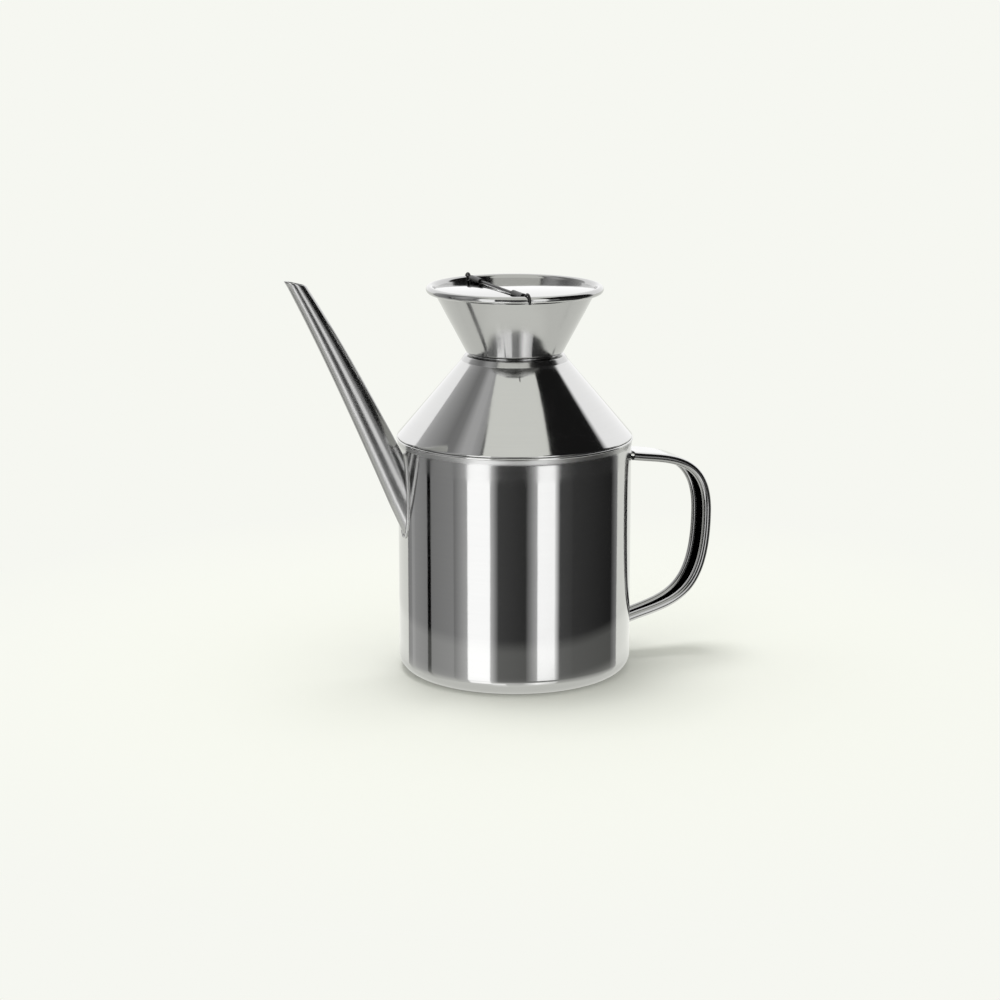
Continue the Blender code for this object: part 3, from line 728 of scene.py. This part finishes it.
def spout_skin(grow, level, gap):
    """Rings from the body to a plane near the tip, one line of points for each side of the tube."""
    angles = [math.tau * side / SPOUT_SIDES for side in range(SPOUT_SIDES)]
    lines = []
    for angle in angles:
        start = crossing(lambda share: past_cut(spout_point(share, angle, grow), level), -0.1, 0.3)
        end = crossing(lambda share: clear_of_body(spout_point(share, angle, grow), gap), 0.5, 1.4)
        steps = [end + (start - end) * ring / SPOUT_RINGS for ring in range(SPOUT_RINGS + 1)]
        lines.append([spout_point(share, angle, grow) for share in steps])
    return [[line[ring] for line in lines] for ring in range(SPOUT_RINGS + 1)]


def sawn_lip(grow, level):
    """One ring of the rounded lip at the tip, in its own plane beside the cut."""
    ring = []
    for side in range(SPOUT_SIDES):
        angle = math.tau * side / SPOUT_SIDES
        share = crossing(lambda share: past_cut(spout_point(share, angle, grow), level), -0.1, 0.3)
        ring.append(spout_point(share, angle, grow))
    return ring


def lengthwise_lines(nodes, place):
    """Places for lines that follow the piece's own length, from the map that its mesh carries."""
    spots = nodes.add("ShaderNodeUVMap", {"uv_map": "along"})
    return nodes.add("ShaderNodeVectorMath", {"operation": "MULTIPLY"}, {0: spots, 1: (46.0, 3.0, 1.0)})


def map_rings(shape, faces, columns):
    """Write a map that counts round each ring in X and from ring to ring in Y."""
    layer = shape.loops.layers.uv.new("along")
    shape.verts.index_update()
    for face in faces:
        spots = [(loop, loop.vert.index % columns, loop.vert.index // columns) for loop in face.loops]
        wraps = max(spot[1] for spot in spots) - min(spot[1] for spot in spots) > columns / 2
        for loop, column, row in spots:
            turn = columns if wraps and column < columns / 2 else 0
            loop[layer].uv = ((column + turn) / columns, row / columns)


half_sheet = SPOUT_SHEET / 2.0
lip_base = SPOUT_TIP.z - half_sheet
lip_rings = []
for index in range(1, 6):
    lean = math.pi * index / 6
    lip_level = lip_base + half_sheet * math.sin(lean)
    lip_rings.append(sawn_lip(half_sheet * (math.cos(lean) - 1.0), lip_level))
spout_rows = spout_skin(0.0, lip_base, SPOUT_GAP) + lip_rings
spout_rows += spout_skin(-SPOUT_SHEET, lip_base, SPOUT_GAP)[::-1]
spout_shape = bmesh.new()
spout_faces = add_loft(spout_shape, spout_rows, closed_ends=False)
map_rings(spout_shape, spout_faces, SPOUT_SIDES)
satin_tube = steel_finish(
    "satin_drawn_tube", TUBE_TONE, TUBE_ROUGHNESS, WAVE_DEPTH, lengthwise_lines,
    line_depth=0.001 * MM, streaks=0.22,
)
pouring_spout = finished_mesh("pouring_spout", spout_shape, satin_tube)
fitted(pouring_spout, "can", "spout_tube")

WELD_RADIUS = 0.65 * MM
WELD_GAP = 0.2 * MM
WELD_TONE = 0.62
WELD_ROUGHNESS = 0.3
WELD_WAVES = 0.12 * MM


def weld_lines(nodes, place):
    """Places for the short, loose strokes of a wire brush."""
    return nodes.add(
        "ShaderNodeVectorMath", {"operation": "MULTIPLY"}, {0: place, 1: (900.0, 900.0, 2400.0)}
    )


brushed_weld = steel_finish("brushed_weld", WELD_TONE, WELD_ROUGHNESS, WELD_WAVES, weld_lines)
root_line = []
for side in range(SPOUT_SIDES):
    angle = math.tau * side / SPOUT_SIDES
    end = crossing(
        lambda share: clear_of_body(spout_point(share, angle, WELD_RADIUS / 2), WELD_GAP), 0.5, 1.4
    )
    spot = spout_point(end, angle, WELD_RADIUS / 2)
    root_line.append(Vector((spot.x, spot.y, min(spot.z, SEAM_FOOT - WELD_RADIUS / 2))))
spout_root_weld = bar_on_path(
    "spout_root_weld", root_line, brushed_weld, WELD_RADIUS, 0.35 * MM, (0.05, 2.3 * MM), closed=True
)
fitted(spout_root_weld, "can", "spout_weld")


# Strap handle
# A tapered strap with both long edges rolled inward to a round bore, bent to the hand and polished.
# The bores are painted dark and the backs of the rolls half as dark: painted shade. At the body the flat
# web alone is welded on.

STRAP_SHEET = 0.7 * MM
STRAP_ROLL = 4.0 * MM
STRAP_ROLL_SWEEP = math.radians(250.0)
STRAP_TOP_WIDTH = 21.0 * MM
STRAP_FOOT_WIDTH = 11.8 * MM
STRAP_STEPS = 70
ROLL_STANDOFF = 2.5 * MM
TAB_OVERLAP = 3.0 * MM
TAB_SINK = 0.05 * MM
TAB_COLUMNS = 16
TOP_END = Vector((BODY_RADIUS, 0.0, BODY_HEIGHT - 9.2 * MM))
BELLY = Vector((BODY_RADIUS + 42.9 * MM, 0.0, 64.9 * MM))
FOOT_END = Vector((BODY_RADIUS, 0.0, 14.6 * MM))
TOP_HEADING = Vector((1.0, 0.0, -0.25))
FOOT_HEADING = Vector((1.0, 0.0, 0.33))
TOP_PULL = 15.5 * MM
SHOULDER_PULL = Vector((0.0, 0.0, 32.7 * MM))
BELLY_PULL = Vector((0.0, 0.0, -46.0 * MM))
FOOT_PULL = 21.6 * MM
# Painted shade in the strap's colour: half depth on the rolls' backs, and how deep it goes.
HALF_PAINTED_SHADE = 0.5
PAINTED_BORE_SHADE = 0.8


def strap_stations():
    """Outer face of the strap from its upper end to its foot, with direction and share of length."""
    upper = interpolate_bezier(
        TOP_END, TOP_END + TOP_HEADING * TOP_PULL, BELLY + SHOULDER_PULL, BELLY, STRAP_STEPS
    )
    lower = interpolate_bezier(
        BELLY, BELLY + BELLY_PULL, FOOT_END + FOOT_HEADING * FOOT_PULL, FOOT_END, STRAP_STEPS
    )
    points = upper + lower[1:]
    stations = []
    for index, point in enumerate(points):
        before = points[max(index - 1, 0)]
        after = points[min(index + 1, len(points) - 1)]
        stations.append((point, (after - before).normalized(), index / (len(points) - 1)))
    return stations


def station_at(inside, outside, limit):
    """The station between two others where the strap is a given distance from the can's axis."""
    share = (limit - inside[0].x) / (outside[0].x - inside[0].x)
    return (
        inside[0].lerp(outside[0], share),
        inside[1].lerp(outside[1], share).normalized(),
        inside[2] + (outside[2] - inside[2]) * share,
    )


def strap_section(width):
    """Closed (across, depth) outline of the strap: a flat web whose edges are rolled inward."""
    centre = Vector(((width - STRAP_ROLL) / 2.0, STRAP_ROLL / 2.0))
    radius = (STRAP_ROLL - STRAP_SHEET) / 2.0
    right = arc_points(centre, radius, -math.pi / 2.0, STRAP_ROLL_SWEEP)
    left = [Vector((-point.x, point.y)) for point in right]
    web = [left[0].lerp(right[0], share / 8) for share in range(9)]
    near = [left[0].lerp(right[0], 0.02), left[0].lerp(right[0], 0.98)]
    middle = left[:0:-1] + [web[0], near[0]] + web[1:8] + [near[1], web[8]] + right[1:]
    return sheet_outline(middle, STRAP_SHEET)


def unpolished(section):
    """For each point of the section, its share of painted shade: 1 in the bores, 0.5 on their backs."""
    count = (len(section) - 10) // 2
    shares = []
    for index, spot in enumerate(section):
        behind = HALF_PAINTED_SHADE if spot.y > STRAP_ROLL * 0.55 else 0.0
        shares.append(1.0 if index < count and abs(spot.x) > section[0].x - STRAP_ROLL else behind)
    return shares


def strap_shade(nodes, place):
    """How much darker the steel is painted where the section's painted shade lies."""
    painted = nodes.add("ShaderNodeAttribute", {"attribute_name": "unpolished"}, output="Fac")
    return 1.0 - painted * PAINTED_BORE_SHADE


def strap_width(share):
    """The strap's width at a share of its length."""
    return STRAP_TOP_WIDTH + (STRAP_FOOT_WIDTH - STRAP_TOP_WIDTH) * share


def add_tab(shape, station, heading, width, outward):
    """Add the flat end of the web, from the body's round wall to a little way inside the strap."""
    inward = Vector((heading.z, 0.0, -heading.x)) * outward
    faces = (station[0] + inward * TAB_SINK, station[0] + inward * (STRAP_SHEET - TAB_SINK))
    rings = []
    for column in range(TAB_COLUMNS + 1):
        y = width * (column / TAB_COLUMNS - 0.5)
        wall = math.sqrt((BODY_RADIUS + 0.02 * MM) ** 2 - y ** 2)
        ring = []
        for start in faces:
            ends = [start + heading * ((wall - start.x) / heading.x)]
            ends.append(start + heading * (ROLL_STANDOFF + TAB_OVERLAP))
            ring.append([spot + Vector((0.0, y, 0.0)) for spot in ends])
        rings.append([ring[0][0], ring[0][1], ring[1][1], ring[1][0]])
    add_loft(shape, rings)


stations = strap_stations()
limit = BODY_RADIUS + ROLL_STANDOFF
clear = [index for index, station in enumerate(stations) if station[0].x > limit]
rolled = [station_at(stations[clear[0] - 1], stations[clear[0]], limit)]
rolled += stations[clear[0]:clear[-1] + 1]
rolled.append(station_at(stations[clear[-1] + 1], stations[clear[-1]], limit))
strap_rings = []
for point, direction, share in rolled:
    inward = Vector((direction.z, 0.0, -direction.x))
    section = strap_section(strap_width(share))
    strap_rings.append([point + Vector((0.0, spot.x, 0.0)) + inward * spot.y for spot in section])
strap_shape = bmesh.new()
shade_layer = strap_shape.verts.layers.float.new("unpolished")
strap_faces = add_loft(strap_shape, strap_rings)
map_rings(strap_shape, strap_faces, len(strap_rings[0]))
shade_shares = unpolished(section)
# Both open ends of the strap are painted fully dark too: painted shade.
open_ends = (0, len(strap_rings) - 1)
for vert in strap_shape.verts:
    at_end = vert.index // len(section) in open_ends
    vert[shade_layer] = 1.0 if at_end else shade_shares[vert.index % len(section)]
upper_heading = TOP_HEADING.normalized()
lower_heading = FOOT_HEADING.normalized()
for station, heading, outward in ((stations[0], upper_heading, 1.0), (stations[-1], lower_heading, -1.0)):
    add_tab(strap_shape, station, heading, strap_width(station[2]) - STRAP_ROLL, outward)
# The strap's colour carries painted shade in the bores and on the rolls' backs.
polished_strap = steel_finish(
    "polished_strap", STEEL_TONE, 0.07, 0.03 * MM, lengthwise_lines, line_depth=0.0001 * MM,
    shade=strap_shade,
)
strap_handle = finished_mesh("strap_handle", strap_shape, polished_strap)
fitted(strap_handle, "can", "handle_strap")


# Handle welds
# A short bead under each end of the strap, run along the body's wall. The drops of the rod still
# show as ripples, because the beads were only brushed.

TAB_WELD_RADIUS = 0.9 * MM
WELD_STEPS = 24

for node, station, heading, outward in (
    ("handle_weld_upper", stations[0], upper_heading, 1.0),
    ("handle_weld_lower", stations[-1], lower_heading, -1.0),
):
    width = strap_width(station[2]) - STRAP_ROLL
    reach = BODY_RADIUS + TAB_WELD_RADIUS * 0.6
    inward = Vector((heading.z, 0.0, -heading.x)) * outward
    face = station[0] + inward * (STRAP_SHEET + TAB_WELD_RADIUS * 0.6)
    height = face.z + (reach - face.x) * heading.z / heading.x
    spread = math.asin(width / 2.0 / BODY_RADIUS)
    angles = [spread * (2.0 * index / WELD_STEPS - 1.0) for index in range(WELD_STEPS + 1)]
    points = [(reach * math.cos(angle), reach * math.sin(angle), height) for angle in angles]
    bead = bar_on_path(
        node + "_bead", points, brushed_weld, TAB_WELD_RADIUS, 0.3 * MM, (0.06, 1.5 * MM)
    )
    fitted(bead, "can", node)


# Studio
# The can stands on a plain pale table. Two tall white panels and several grey and black cards stand
# round it at a distance: polished steel shows little but them, and only reflections see them.

TABLE_TONE = (0.921, 0.930, 0.880)
CAMERA_PLACE = Vector((-0.4003, -1.0246, 0.326))
CAMERA_VIEW = Vector((0.3495, 0.9106, -0.2207))
CAMERA_LENS = 89.8
CARD_DISTANCE = 4.0
CARD_CENTRE = Vector((0.0, 0.0, 0.08))
CARD_STEP = math.radians(4.0)

to_camera = Vector((-CAMERA_VIEW.x, -CAMERA_VIEW.y, 0.0)).normalized()
to_right = Vector((CAMERA_VIEW.y, -CAMERA_VIEW.x, 0.0)).normalized()


def card_material():
    """A glow as strong as the brightness that each card's mesh carries."""
    material = bpy.data.materials.new("studio_card")
    material.use_nodes = True
    material.cycles.emission_sampling = "NONE"
    nodes = Nodes(material.node_tree)
    brightness = nodes.add("ShaderNodeAttribute", {"attribute_name": "brightness"}, output="Fac")
    glow = nodes.add("ShaderNodeEmission", values={"Strength": brightness})
    nodes.add("ShaderNodeOutputMaterial", values={"Surface": glow})
    return material


def studio_card(name, azimuths, elevations, brightness):
    """A curved card seen only in reflections; azimuth 0 is over the camera, positive to its right."""
    spans = [[math.radians(value) for value in pair] for pair in (azimuths, elevations)]
    counts = [max(1, math.ceil((end - start) / CARD_STEP)) for start, end in spans]
    shape = bmesh.new()
    layer = shape.verts.layers.float.new("brightness")
    rows = []
    for column in range(counts[0] + 1):
        share = column / counts[0]
        azimuth = spans[0][0] + (spans[0][1] - spans[0][0]) * share
        flat = to_camera * math.cos(azimuth) + to_right * math.sin(azimuth)
        row = []
        for step in range(counts[1] + 1):
            elevation = spans[1][0] + (spans[1][1] - spans[1][0]) * step / counts[1]
            spot = flat * math.cos(elevation) + Vector((0.0, 0.0, math.sin(elevation)))
            corner = shape.verts.new(CARD_CENTRE + spot * CARD_DISTANCE)
            corner[layer] = brightness[0] + (brightness[1] - brightness[0]) * share
            row.append(corner)
        rows.append(row)
    for row, following in zip(rows, rows[1:]):
        for step in range(counts[1]):
            shape.faces.new((row[step], row[step + 1], following[step + 1], following[step]))
    card = finished_mesh(name, shape, card_glow)
    card.visible_camera = False
    card.visible_diffuse = False
    card.visible_transmission = False
    card.visible_shadow = False


card_glow = card_material()
for name, azimuths, elevations, brightness in (
    ("low_far_left", (-131.0, -122.0), (-28.0, 0.0), (0.26, 0.34)),
    ("low_left_pale", (-122.0, -116.0), (-28.0, 0.0), (0.46, 0.40)),
    ("low_left_side", (-116.0, -95.5), (-38.0, 0.0), (0.36, 0.30)),
    ("low_left_gap", (-95.5, -90.5), (-38.0, 0.0), (0.0, 0.0)),
    ("low_left_grey", (-90.5, -62.0), (-38.0, 0.0), (0.26, 0.32)),
    ("low_left_soft", (-62.0, -47.0), (-38.0, 0.0), (0.22, 0.55)),
    ("low_left_panel", (-47.0, -24.0), (-26.5, 0.0), (1.6, 1.6)),
    ("low_camera_left", (-24.0, -16.0), (-26.5, 0.0), (0.7, 0.08)),
    ("low_camera", (-16.0, 11.0), (-26.5, 0.0), (0.07, 0.04)),
    ("low_right_soft", (11.0, 22.0), (-18.0, 0.0), (0.08, 0.6)),
    ("low_right_panel", (22.0, 39.5), (-18.0, 0.0), (1.55, 1.5)),
    ("low_panel_edge", (39.5, 44.5), (-18.0, 0.0), (1.1, 0.12)),
    ("low_panel_foot", (11.0, 44.5), (-26.5, -18.0), (0.05, 0.1)),
    ("low_front_left", (-47.0, -24.0), (-34.0, -26.5), (2.2, 2.4)),
    ("low_front", (-24.0, 8.0), (-31.0, -26.5), (0.9, 0.4)),
    ("low_front_soft", (8.0, 22.0), (-40.0, -26.5), (0.45, 2.0)),
    ("low_front_right", (22.0, 44.5), (-40.0, -26.5), (2.2, 1.0)),
    ("low_floor_front", (-24.0, -9.0), (-40.0, -31.0), (1.9, 1.9)),
    ("low_floor_grey", (-9.0, 8.0), (-40.0, -31.0), (0.55, 0.45)),
    ("low_floor_left", (-49.0, -24.0), (-53.0, -34.0), (0.8, 1.0)),
    ("low_floor_panel", (-24.0, -8.0), (-53.0, -40.0), (1.3, 1.6)),
    ("low_right_black", (44.5, 58.0), (-40.0, -8.0), (0.08, 0.06)),
    ("low_right_deep", (58.0, 110.0), (-40.0, 0.0), (0.05, 0.02)),
    ("low_right_end", (110.0, 121.0), (-28.0, 0.0), (0.04, 0.3)),
    ("level_right_grey", (44.5, 58.0), (-8.0, 14.0), (0.35, 0.3)),
    ("high_far_left", (-127.0, -118.0), (0.0, 63.9), (0.62, 0.46)),
    ("high_left_side", (-118.0, -98.0), (0.0, 63.9), (0.46, 0.25)),
    ("high_left_grey", (-98.0, -88.0), (0.0, 63.9), (0.24, 0.27)),
    ("high_left_soft", (-88.0, -78.0), (0.0, 63.9), (0.29, 0.53)),
    ("high_left_mid", (-78.0, -67.0), (0.0, 63.9), (0.54, 0.54)),
    ("high_left_pale", (-67.0, -55.5), (0.0, 63.9), (0.50, 0.36)),
    ("high_left_line", (-55.5, -51.0), (0.0, 63.9), (0.12, 0.12)),
    ("high_left_edge", (-51.0, -47.0), (0.0, 30.0), (0.5, 0.5)),
    ("high_left_panel", (-47.0, -23.0), (0.0, 30.0), (1.6, 1.6)),
    ("high_camera", (-23.0, 14.0), (0.0, 30.0), (0.08, 0.06)),
    ("high_right_soft", (14.0, 23.0), (0.0, 30.0), (0.3, 0.6)),
    ("high_right_panel", (23.0, 43.0), (0.0, 30.0), (1.6, 1.6)),
    ("high_right_near", (43.0, 58.0), (14.0, 62.3), (0.012, 0.012)),
    ("high_right_black", (58.0, 114.0), (0.0, 62.3), (0.012, 0.012)),
    ("high_right_end", (114.0, 119.0), (0.0, 62.3), (0.012, 1.2)),
    ("high_behind", (119.0, 233.0), (0.0, 62.3), (1.25, 1.25)),
):
    studio_card(name, azimuths, elevations, brightness)

TABLE_RADIUS = 3.0
TABLE_STEPS = 96
TABLE_ALBEDO = 0.8
NEAR_TABLE = 0.1
FAR_TABLE = 0.32
MIRRORED_EDGE = 0.142
MIRRORED_FADE = 0.02
MIRRORED_HAZE = 0.11
MIRRORED_TABLE = 0.084
MIRRORED_FOOT = 0.055
MIRRORED_LEVEL = 0.74

table_shape = bmesh.new()
bmesh.ops.create_circle(table_shape, cap_ends=True, radius=TABLE_RADIUS, segments=TABLE_STEPS)
table_finish = bpy.data.materials.new("pale_table")
table_finish.use_nodes = True
nodes = Nodes(table_finish.node_tree)
spot = nodes.add("ShaderNodeSeparateXYZ", values={
    "Vector": nodes.add("ShaderNodeTexCoord", output="Object"),
})
radius = (spot * spot + spot.out("Y") * spot.out("Y")).math("SQRT")
away = ((radius - NEAR_TABLE) / (FAR_TABLE - NEAR_TABLE)).clamped()
edge = ((MIRRORED_EDGE - radius) / MIRRORED_FADE).clamped()
close = ((MIRRORED_TABLE - radius) / (MIRRORED_TABLE - MIRRORED_FOOT)).clamped()
tone = TABLE_TONE + (1.0,)
lit_tone = [TABLE_ALBEDO * part for part in TABLE_TONE] + [1.0]
lit = nodes.add("ShaderNodeBsdfDiffuse", values={"Color": lit_tone})
plain = nodes.add("ShaderNodeEmission", values={"Color": tone})
mirrored = nodes.add("ShaderNodeEmission", values={"Color": tone, "Strength": MIRRORED_LEVEL})
unseen = nodes.add("ShaderNodeBsdfTransparent")
seen = nodes.add("ShaderNodeMixShader", values={0: away, 1: lit, 2: plain})
haze = nodes.add("ShaderNodeEmission", values={"Color": tone, "Strength": edge * MIRRORED_HAZE})
foot_mirrored = nodes.add("ShaderNodeMixShader", values={0: close * close, 1: unseen, 2: mirrored})
reflected = nodes.add("ShaderNodeAddShader", values={0: foot_mirrored, 1: haze})
glossy = nodes.add("ShaderNodeLightPath", output="Is Glossy Ray")
top_side = nodes.add("ShaderNodeMixShader", values={0: glossy, 1: seen, 2: reflected})
under = nodes.add("ShaderNodeNewGeometry", output="Backfacing")
both = nodes.add("ShaderNodeMixShader", values={0: under, 1: top_side, 2: unseen})
nodes.add("ShaderNodeOutputMaterial", values={"Surface": both})
table = finished_mesh("pale_table", table_shape, table_finish)

world = bpy.data.worlds.new("pale_studio")
world.use_nodes = True
nodes = Nodes(world.node_tree)
backdrop = nodes.add("ShaderNodeBackground", values={"Color": tone, "Strength": 1.0})
nodes.add("ShaderNodeOutputWorld", values={"Surface": backdrop})
bpy.context.scene.world = world

LAMP_PLACE = Vector((-0.1, 0.45, 2.4))
LAMP_SIZE = 1.1
LAMP_POWER = 25.0
lamp_data = bpy.data.lights.new("soft_lamp", "AREA")
lamp_data.shape = "DISK"
lamp_data.size = LAMP_SIZE
lamp_data.energy = LAMP_POWER
lamp = bpy.data.objects.new("soft_lamp", lamp_data)
lamp.location = LAMP_PLACE
lamp.rotation_euler = (CARD_CENTRE - LAMP_PLACE).to_track_quat("-Z", "Y").to_euler()
lamp.visible_glossy = False
bpy.context.collection.objects.link(lamp)

camera_data = bpy.data.cameras.new("product_camera")
camera_data.lens = CAMERA_LENS
camera_data.sensor_width = 36.0
camera = bpy.data.objects.new("product_camera", camera_data)
camera.location = CAMERA_PLACE
camera.rotation_euler = CAMERA_VIEW.to_track_quat("-Z", "Y").to_euler()
bpy.context.collection.objects.link(camera)
bpy.context.scene.camera = camera
bpy.context.scene.view_settings.view_transform = "Standard"
